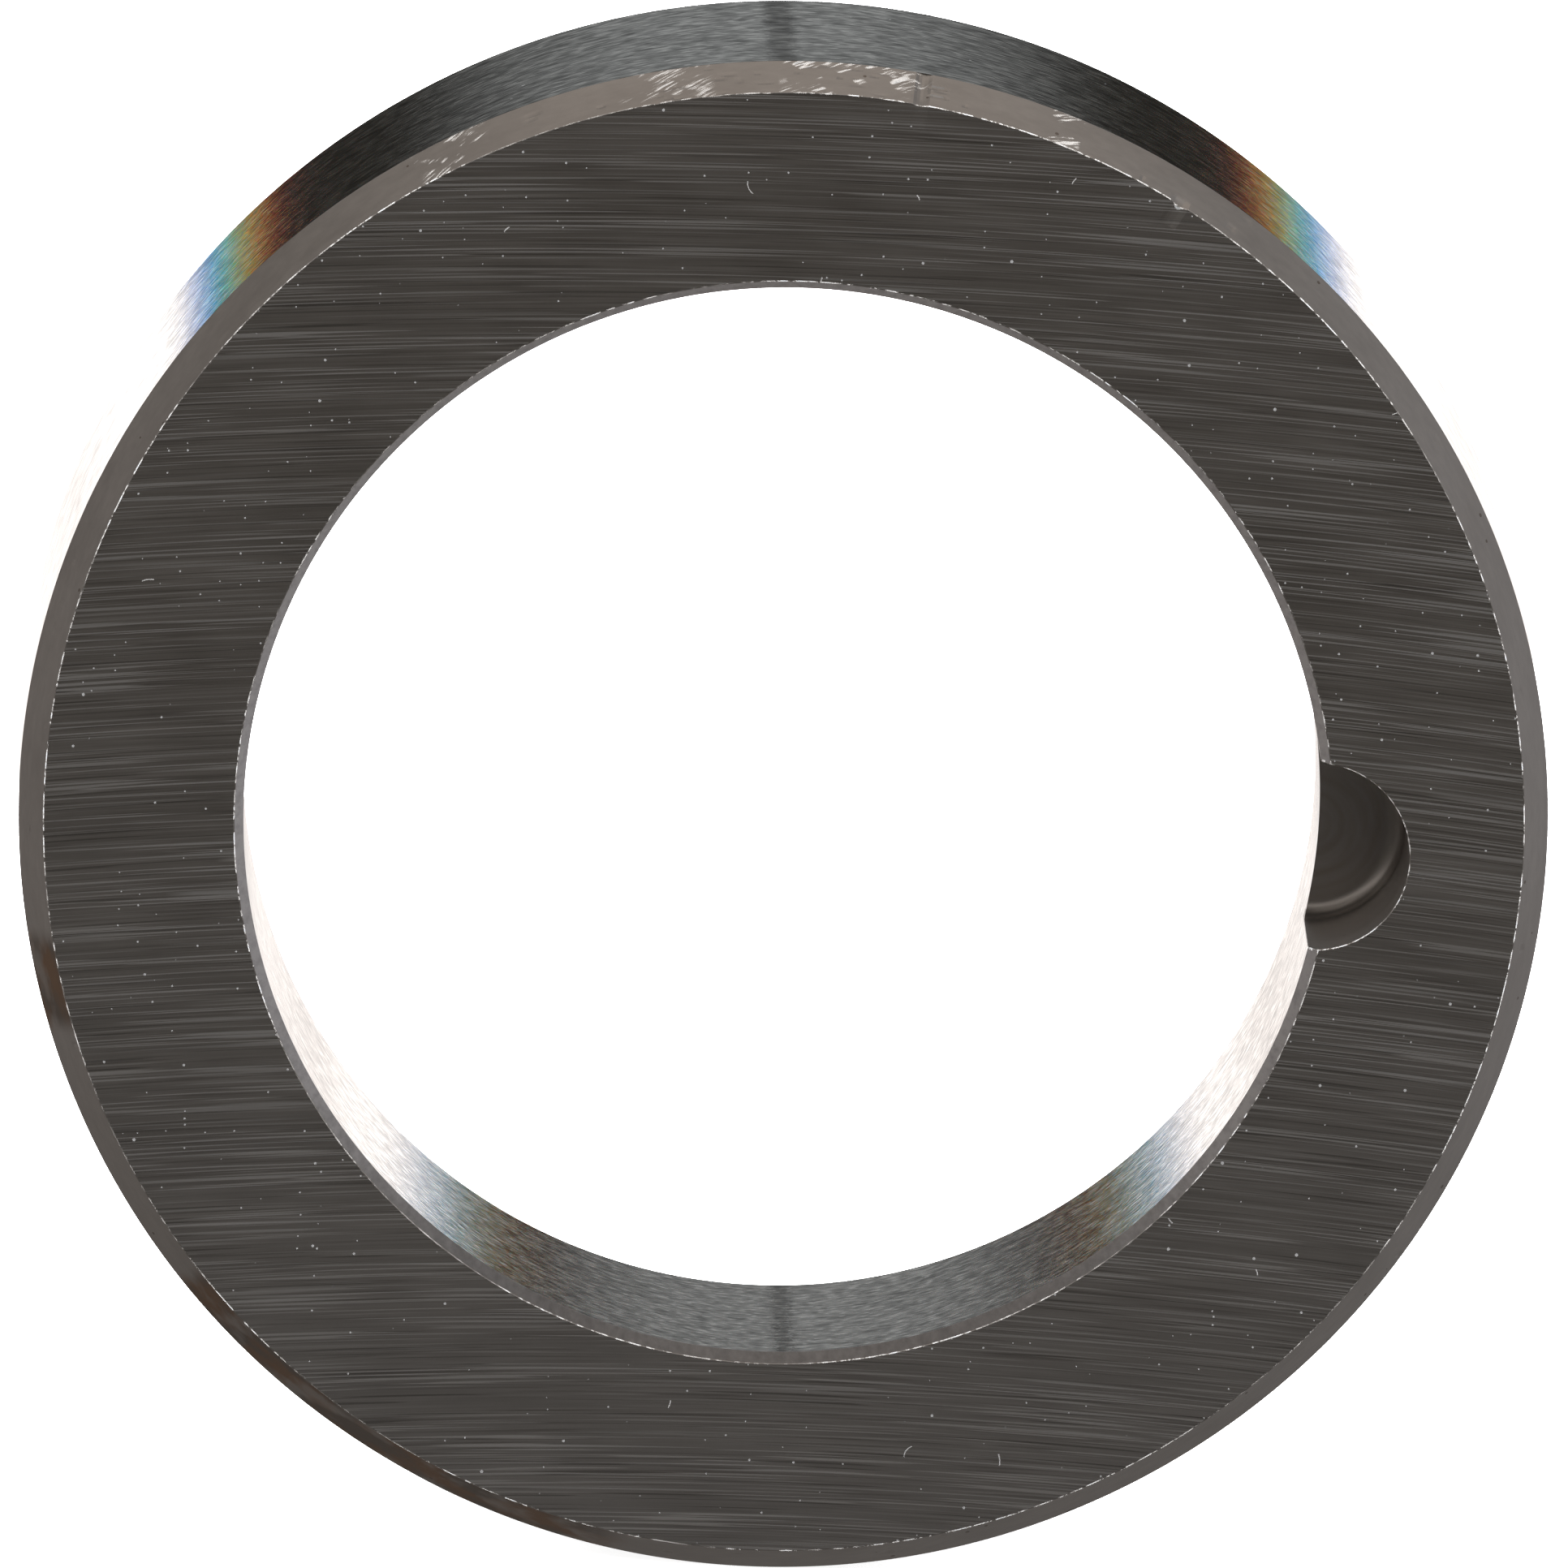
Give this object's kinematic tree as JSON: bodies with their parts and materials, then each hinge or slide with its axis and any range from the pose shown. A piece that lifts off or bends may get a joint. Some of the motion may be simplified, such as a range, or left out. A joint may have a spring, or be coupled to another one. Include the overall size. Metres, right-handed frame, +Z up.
{
  "type": "shaft collar",
  "caption": "Solid steel shaft collar with a chamfered rim and a half-round drive notch milled into its front face.",
  "frame": {"origin": "on the bore's axis, halfway along the ring's width", "axes": "Y along the shaft axis, with -Y out of the notched front face; +X from the axis towards the notch; +Z up, with the ring upright on a level shaft"},
  "size_m": [0.085, 0.024, 0.085],
  "materials": {
    "steel": "bare steel: ground front face, fine-turned outside and bore, light nicks and staining round the chamfer"
  },
  "bodies": {
    "root": {"collar_ring": "steel"}
  },
  "joints": []
}
